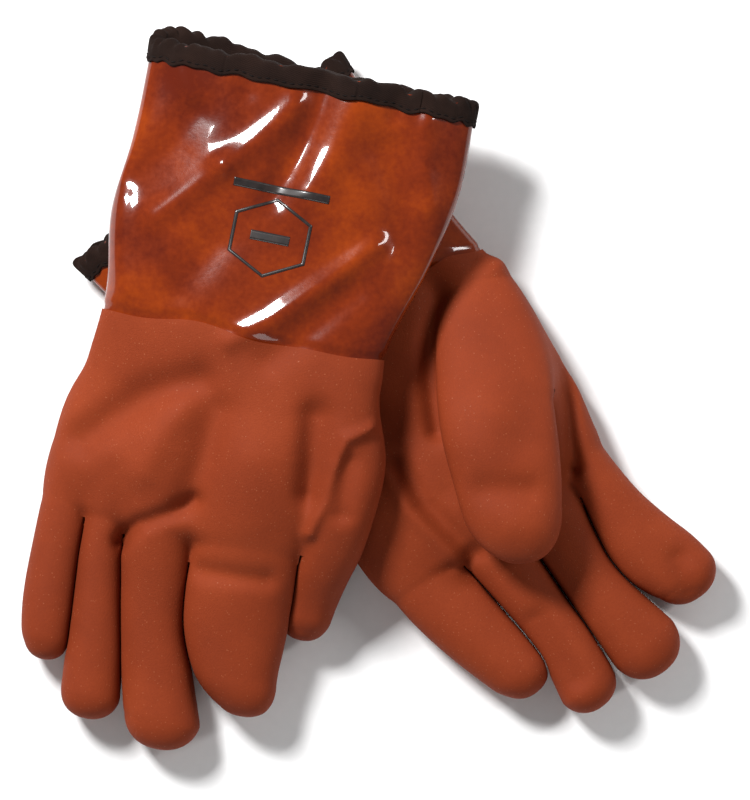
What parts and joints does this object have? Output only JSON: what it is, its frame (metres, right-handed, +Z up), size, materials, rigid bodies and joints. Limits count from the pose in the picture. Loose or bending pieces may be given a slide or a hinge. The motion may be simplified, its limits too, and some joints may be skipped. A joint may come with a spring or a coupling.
{
  "type": "pair of coated gauntlet gloves",
  "caption": "Pair of brown plastic-coated gauntlet gloves with rough hands, smooth sleeves, knitted linings and taped cuffs, laid one across the other.",
  "frame": {"origin": "centre of the pair on the table, at the height of the table top", "axes": "+Z up from the table; the right glove's sleeve points towards +Y and its fingers towards -Y; +X is towards the left glove's fingers"},
  "size_m": [0.3041, 0.3118, 0.0617],
  "materials": {
    "sleeve_coat": "smooth glossy flexible plastic",
    "hand_coat": "rough sandy matte flexible plastic",
    "lining": "brushed knitted lining",
    "binding_tape": "woven tape",
    "thread": "sewing thread"
  },
  "bodies": {
    "left_hand": {"left_gauntlet_shell": "sleeve_coat", "left_palm_shell": "hand_coat", "left_sleeve_liner": "lining", "left_palm_liner": "lining", "left_cuff_binding": "binding_tape", "left_cuff_stitches": "thread"},
    "left_thumb": {"left_thumb_stall": "hand_coat", "left_thumb_liner": "lining"},
    "left_index": {"left_index_stall": "hand_coat", "left_index_liner": "lining"},
    "left_middle": {"left_middle_stall": "hand_coat", "left_middle_liner": "lining"},
    "left_ring": {"left_ring_stall": "hand_coat", "left_ring_liner": "lining"},
    "left_little": {"left_little_stall": "hand_coat", "left_little_liner": "lining"},
    "right_hand": {"right_palm_shell": "hand_coat", "right_palm_liner": "lining"},
    "right_gauntlet": {"right_gauntlet_shell": "sleeve_coat", "right_sleeve_liner": "lining", "right_cuff_binding": "binding_tape", "right_cuff_stitches": "thread"},
    "right_thumb": {"right_thumb_stall": "hand_coat", "right_thumb_liner": "lining"},
    "right_index": {"right_index_stall": "hand_coat", "right_index_liner": "lining"},
    "right_middle": {"right_middle_stall": "hand_coat", "right_middle_liner": "lining"},
    "right_ring": {"right_ring_stall": "hand_coat", "right_ring_liner": "lining"},
    "right_little": {"right_little_stall": "hand_coat", "right_little_liner": "lining"}
  },
  "joints": [
    {"name": "left_index_bend", "type": "hinge", "parent": "left_hand", "child": "left_index", "pos_m": [0.10449, -0.03765, 0.02741], "axis": [-0.7826, -0.6225, 0], "range_deg": [0, 60], "stiffness_Nm_per_rad": 0.03},
    {"name": "left_middle_bend", "type": "hinge", "parent": "left_hand", "child": "left_middle", "pos_m": [0.0881, -0.06218, 0.02728], "axis": [-0.7826, -0.6225, 0], "range_deg": [0, 60], "stiffness_Nm_per_rad": 0.03},
    {"name": "left_ring_bend", "type": "hinge", "parent": "left_hand", "child": "left_ring", "pos_m": [0.06483, -0.08069, 0.02732], "axis": [-0.7826, -0.6225, 0], "range_deg": [0, 60], "stiffness_Nm_per_rad": 0.03},
    {"name": "left_little_bend", "type": "hinge", "parent": "left_hand", "child": "left_little", "pos_m": [0.02954, -0.08576, 0.02718], "axis": [-0.7826, -0.6225, 0], "range_deg": [0, 60], "stiffness_Nm_per_rad": 0.03},
    {"name": "right_index_bend", "type": "hinge", "parent": "right_hand", "child": "right_index", "pos_m": [-0.05449, -0.07865, 0.04021], "axis": [-0.9799, 0.1994, 0], "range_deg": [0, 35], "stiffness_Nm_per_rad": 0.03},
    {"name": "right_middle_bend", "type": "hinge", "parent": "right_hand", "child": "right_middle", "pos_m": [-0.09179, -0.07107, 0.03483], "axis": [-0.9799, 0.1994, 0], "range_deg": [0, 35], "stiffness_Nm_per_rad": 0.03},
    {"name": "right_ring_bend", "type": "hinge", "parent": "right_hand", "child": "right_ring", "pos_m": [-0.1154, -0.06014, 0.03115], "axis": [-0.9799, 0.1994, 0], "range_deg": [0, 35], "stiffness_Nm_per_rad": 0.03},
    {"name": "right_little_bend", "type": "hinge", "parent": "right_hand", "child": "right_little", "pos_m": [-0.13359, -0.05235, 0.02864], "axis": [-0.9799, 0.1994, 0], "range_deg": [0, 35], "stiffness_Nm_per_rad": 0.03},
    {"name": "left_thumb_bend", "type": "hinge", "parent": "left_hand", "child": "left_thumb", "pos_m": [0.05517, -0.00029, 0.05988], "axis": [-0.9954, -0.0958, 0], "range_deg": [0, 60], "stiffness_Nm_per_rad": 0.03},
    {"name": "right_thumb_bend", "type": "hinge", "parent": "right_hand", "child": "right_thumb", "pos_m": [-0.00508, -0.07631, 0.04099], "axis": [-0.6223, 0.1609, 0.766], "range_deg": [0, 30], "stiffness_Nm_per_rad": 0.03},
    {"name": "right_lift", "type": "slide", "parent": "left_hand", "child": "right_hand", "axis": [0, 0, 1], "range_m": [0, 0.15]},
    {"name": "right_wrist_bend", "type": "hinge", "parent": "right_hand", "child": "right_gauntlet", "pos_m": [-0.05346, 0.03135, 0.0622], "axis": [0.9799, -0.1994, 0], "range_deg": [0, 30], "stiffness_Nm_per_rad": 0.05}
  ]
}
